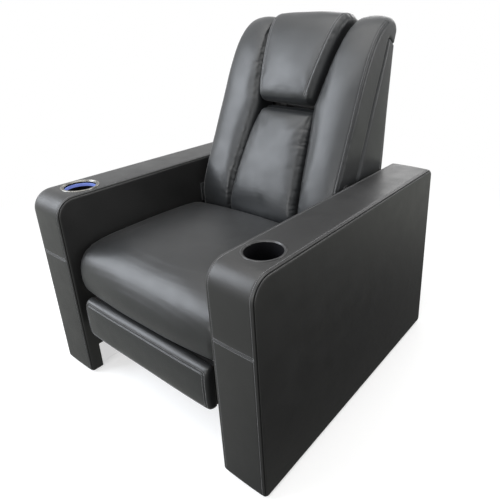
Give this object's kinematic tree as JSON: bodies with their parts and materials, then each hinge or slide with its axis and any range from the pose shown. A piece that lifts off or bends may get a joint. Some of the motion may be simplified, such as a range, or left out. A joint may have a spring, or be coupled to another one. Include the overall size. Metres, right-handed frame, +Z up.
{
  "type": "cinema recliner seat",
  "caption": "Powered cinema recliner seat with upholstered arms, cup holders, a sliding seat that reclines its back, a tilting headrest and a fold-out footrest.",
  "frame": {"origin": "on the floor under the middle of the object's box", "axes": "+Z up, the sitter faces -Y, +X is the side of the right arm as the picture shows it"},
  "size_m": [0.92, 0.932, 1.1296],
  "materials": {
    "arm_leather": "smooth black upholstery leather, satin",
    "seat_leather": "soft black upholstery leather, satin",
    "plywood": "raw birch plywood",
    "stained_board": "black stained board",
    "rail_timber": "planed hardwood",
    "cup_metal": "polished",
    "light_ring": "translucent blue light guide",
    "black_plastic": "fine moulded texture",
    "button_grey": "smooth",
    "frame_black": "black powder coat",
    "motor_black": "dark grey moulded housing",
    "zinc_steel": "zinc plated pressed steel",
    "rod_steel": "ground bright rod",
    "webbing": "woven elastic strap",
    "valance_cloth": "black dust cloth"
  },
  "bodies": {
    "base": {"arm_frame_left": "plywood", "arm_frame_right": "plywood", "arm_outer_panel_left": "arm_leather", "arm_outer_panel_right": "arm_leather", "arm_inner_panel_left": "arm_leather", "arm_inner_panel_right": "arm_leather", "arm_band_left": "arm_leather", "arm_band_right": "arm_leather", "cup_holder_lit": "cup_metal", "cup_light_ring": "light_ring", "cup_holder_plain": "black_plastic", "glides": "black_plastic", "front_cross_rail": "frame_black", "rear_cross_rail": "frame_black", "guide_rail_left": "zinc_steel", "guide_rail_right": "zinc_steel", "back_pivot_left": "zinc_steel", "back_pivot_right": "zinc_steel", "power_supply": "black_plastic", "power_inlet": "black_plastic", "seat_actuator_body": "motor_black", "switch_plate": "black_plastic"},
    "recline_button": {"recline_button": "button_grey"},
    "return_button": {"return_button": "button_grey"},
    "carriage": {"side_plate_left": "frame_black", "side_plate_right": "frame_black", "front_cross_tube": "frame_black", "rear_cross_tube": "frame_black", "seat_side_rail_left": "rail_timber", "seat_side_rail_right": "rail_timber", "seat_upright_left": "zinc_steel", "seat_upright_right": "zinc_steel", "seat_front_rail": "rail_timber", "seat_rear_rail": "rail_timber", "seat_webbing": "webbing", "seat_cushion": "seat_leather", "front_valance": "valance_cloth", "seat_actuator_rod": "rod_steel", "footrest_actuator_body": "motor_black"},
    "drive": {"torque_tube": "zinc_steel", "drive_links": "zinc_steel"},
    "stabiliser": {"stabiliser_links": "zinc_steel"},
    "lift": {"lift_links": "zinc_steel"},
    "level": {"level_links": "zinc_steel"},
    "footrest": {"footrest_brackets": "zinc_steel", "footrest_board": "stained_board", "footrest_pad": "seat_leather"},
    "rod": {"footrest_actuator_rod": "rod_steel"},
    "back": {"back_bracket_left": "frame_black", "back_bracket_right": "frame_black", "back_side_board_left": "seat_leather", "back_side_board_right": "seat_leather", "back_rear_panel": "seat_leather", "back_rails": "stained_board", "headrest_hinge_bracket": "frame_black", "bolster_left": "seat_leather", "bolster_right": "seat_leather", "lumbar_pad": "seat_leather"},
    "headrest": {"headrest_board": "stained_board", "headrest_pad": "seat_leather"}
  },
  "joints": [
    {"name": "seat_slide", "type": "slide", "parent": "base", "child": "carriage", "axis": [0, -1, 0], "range_m": [0, 0.06]},
    {"name": "backrest_recline", "type": "hinge", "parent": "base", "child": "back", "pos_m": [0, 0.09405, 0.49], "axis": [-1, 0, 0], "range_deg": [0, 32]},
    {"name": "headrest_tilt", "type": "hinge", "parent": "back", "child": "headrest", "pos_m": [0, 0.29669, 0.81744], "axis": [1, 0, 0], "range_deg": [0, 15]},
    {"name": "footrest_open", "type": "hinge", "parent": "carriage", "child": "drive", "pos_m": [0, -0.34345, 0.28], "axis": [-1, 0, 0], "range_deg": [0, 90]},
    {"name": "footrest_stabiliser", "type": "hinge", "parent": "carriage", "child": "stabiliser", "pos_m": [0, -0.30345, 0.26], "axis": [-1, 0, 0], "range_deg": [0, 90]},
    {"name": "footrest_lift", "type": "hinge", "parent": "drive", "child": "lift", "pos_m": [0, -0.26291, 0.08066], "axis": [1, 0, 0], "range_deg": [0, 90]},
    {"name": "footrest_level", "type": "hinge", "parent": "drive", "child": "level", "pos_m": [0, -0.25092, 0.05099], "axis": [1, 0, 0], "range_deg": [0, 90]},
    {"name": "footrest_turn", "type": "hinge", "parent": "lift", "child": "footrest", "pos_m": [0, -0.39795, 0.2347], "axis": [-1, 0, 0], "range_deg": [0, 90]},
    {"name": "footrest_rod", "type": "slide", "parent": "carriage", "child": "rod", "axis": [0, -1, 0], "range_m": [0, 0.06364]},
    {"name": "recline_press", "type": "slide", "parent": "base", "child": "recline_button", "axis": [1, 0, 0], "range_m": [0, 0.0015], "stiffness_N_per_m": 900, "springref_m": -0.0012},
    {"name": "return_press", "type": "slide", "parent": "base", "child": "return_button", "axis": [1, 0, 0], "range_m": [0, 0.0015], "stiffness_N_per_m": 900, "springref_m": -0.0012}
  ],
  "couplings": [
    {"joint": "backrest_recline", "follows": "seat_slide", "rad_per_m": 9.3084},
    {"joint": "footrest_stabiliser", "follows": "footrest_open", "ratio": 1},
    {"joint": "footrest_lift", "follows": "footrest_open", "ratio": 1},
    {"joint": "footrest_level", "follows": "footrest_open", "ratio": 1},
    {"joint": "footrest_turn", "follows": "footrest_open", "ratio": 1},
    {"joint": "footrest_rod", "follows": "footrest_open", "m_per_rad": 0.040514}
  ]
}
